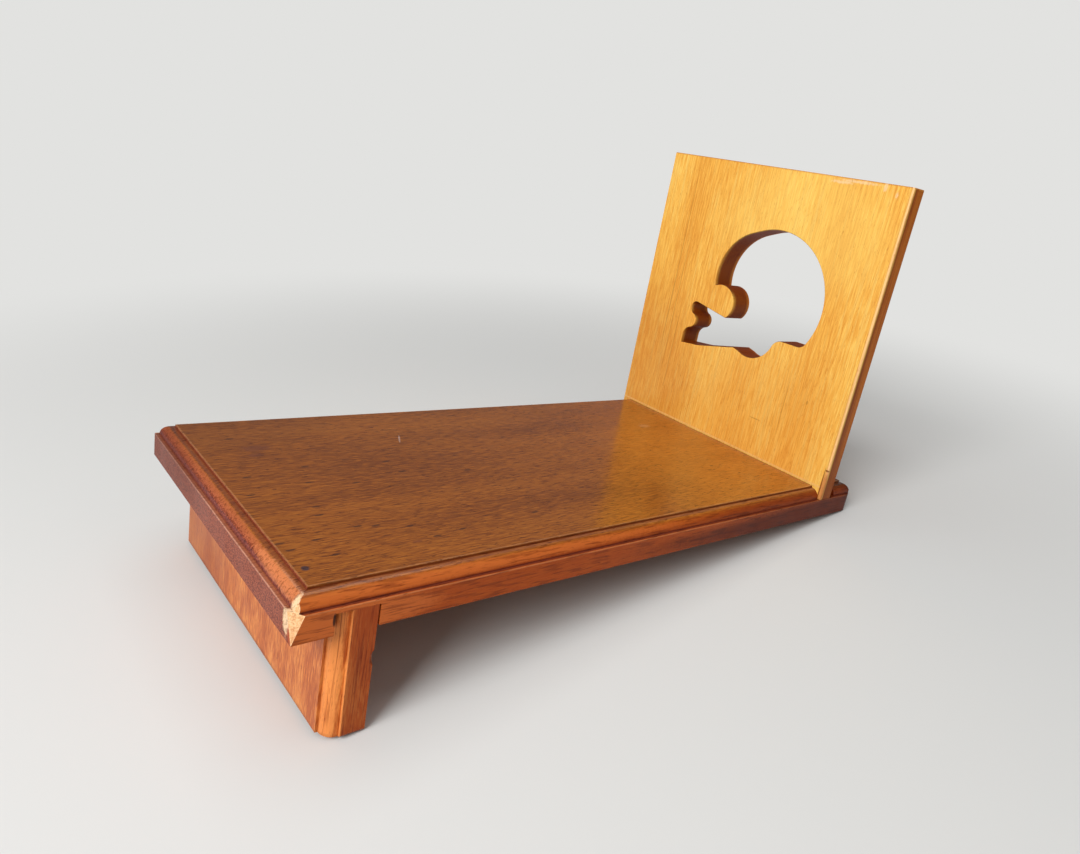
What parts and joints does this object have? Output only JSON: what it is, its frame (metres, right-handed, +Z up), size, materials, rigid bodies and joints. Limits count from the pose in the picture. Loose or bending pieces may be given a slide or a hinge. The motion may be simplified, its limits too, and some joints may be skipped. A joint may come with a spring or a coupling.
{
  "type": "book stand",
  "caption": "Sloping wooden book stand: a moulded base board raised on a foot, with an upright end panel pierced by a helmet-shaped cut-out that the books lean on.",
  "frame": {"origin": "on the table, at the middle of the stand's length and width", "axes": "+X along the stand from its raised end to the end panel, +Y from the front edge to the back edge, +Z up"},
  "size_m": [0.327, 0.16, 0.179],
  "materials": {
    "base_wood": "worn reddish-brown varnish over fine-grained hardwood",
    "panel_wood": "honey varnish over fine-grained hardwood",
    "foot_wood": "orange-brown varnish over fine-grained hardwood"
  },
  "bodies": {
    "root": {"base_board": "base_wood", "end_panel": "panel_wood", "foot_board": "foot_wood"}
  },
  "joints": []
}
